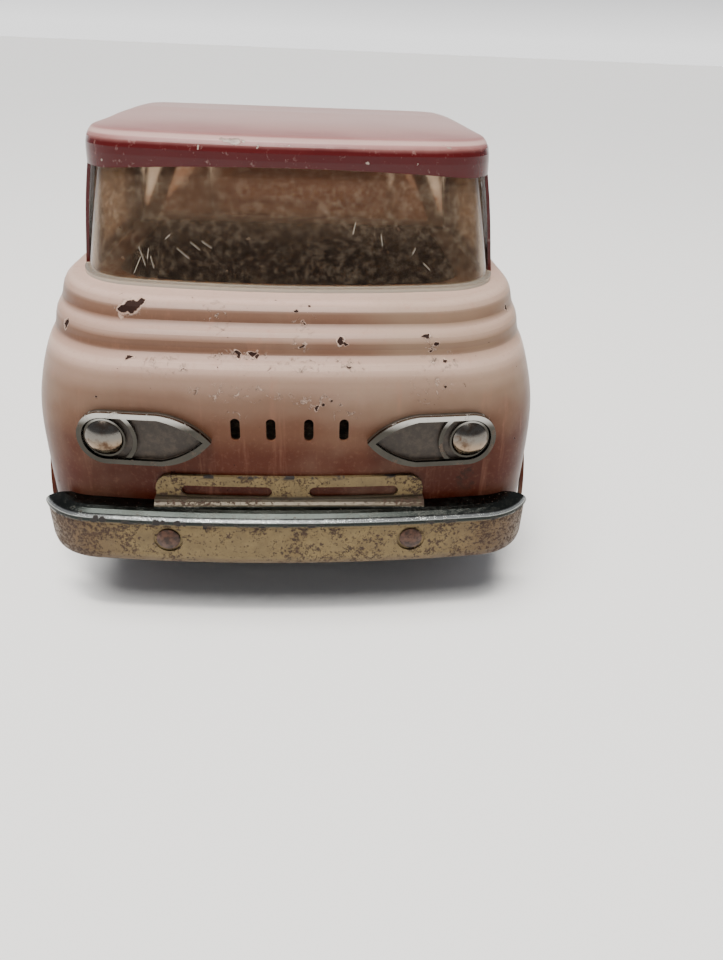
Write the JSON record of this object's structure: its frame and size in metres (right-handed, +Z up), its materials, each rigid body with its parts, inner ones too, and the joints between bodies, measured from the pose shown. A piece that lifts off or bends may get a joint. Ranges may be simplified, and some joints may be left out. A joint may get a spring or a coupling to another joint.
{
  "type": "toy pickup truck",
  "caption": "Pressed-steel push-along toy pickup with a cab over the front axle, open load bed, drop-down tailgate and free-rolling wheels.",
  "frame": {"origin": "on the ground under the middle of the truck", "axes": "+Z up, -Y towards the front bumper, +X to the truck's left side"},
  "size_m": [0.132, 0.292, 0.1178],
  "materials": {
    "body_paint": "faded gloss enamel, chipped",
    "roof_paint": "dark red gloss enamel, chalked on top",
    "clear_plastic": "yellowed, hazy and scratched",
    "tin_plate": "worn bright plate over steel, rust specks",
    "bright_lens": "bright domed plate",
    "dark_steel": "dark grey, dusty",
    "bare_steel": "dull plated steel",
    "wheel_steel": "off-white enamel, worn",
    "tyre": "matt black rubber"
  },
  "bodies": {
    "truck": {"cab_body": "body_paint", "cab_back_panel": "body_paint", "roof": "roof_paint", "windshield": "clear_plastic", "front_bumper": "tin_plate", "bumper_rivets": "tin_plate", "headlight_bezel_left": "tin_plate", "headlight_bezel_right": "tin_plate", "headlight_lens_left": "bright_lens", "headlight_lens_right": "bright_lens", "bed_body": "body_paint", "bed_tub": "body_paint", "tailgate_pins": "bare_steel", "chassis": "dark_steel", "bed_bolster_front": "dark_steel", "bed_bolster_rear": "dark_steel", "front_axle": "bare_steel", "rear_axle": "bare_steel", "axle_caps": "bare_steel"},
    "tailgate": {"tailgate": "body_paint"},
    "front_wheel_left": {"front_wheel_left": "wheel_steel", "front_tyre_left": "tyre"},
    "front_wheel_right": {"front_wheel_right": "wheel_steel", "front_tyre_right": "tyre"},
    "rear_wheel_left": {"rear_wheel_left": "wheel_steel", "rear_tyre_left": "tyre"},
    "rear_wheel_right": {"rear_wheel_right": "wheel_steel", "rear_tyre_right": "tyre"}
  },
  "joints": [
    {"name": "front_wheel_left_spin", "type": "hinge", "parent": "truck", "child": "front_wheel_left", "pos_m": [0, -0.096, 0.022], "axis": [1, 0, 0], "continuous": true},
    {"name": "front_wheel_right_spin", "type": "hinge", "parent": "truck", "child": "front_wheel_right", "pos_m": [0, -0.096, 0.022], "axis": [1, 0, 0], "continuous": true},
    {"name": "rear_wheel_left_spin", "type": "hinge", "parent": "truck", "child": "rear_wheel_left", "pos_m": [0, 0.06, 0.022], "axis": [1, 0, 0], "continuous": true},
    {"name": "rear_wheel_right_spin", "type": "hinge", "parent": "truck", "child": "rear_wheel_right", "pos_m": [0, 0.06, 0.022], "axis": [1, 0, 0], "continuous": true},
    {"name": "tailgate_drop", "type": "hinge", "parent": "truck", "child": "tailgate", "pos_m": [0, 0.1434, 0.0496], "axis": [-1, 0, 0], "range_deg": [0, 92]}
  ]
}
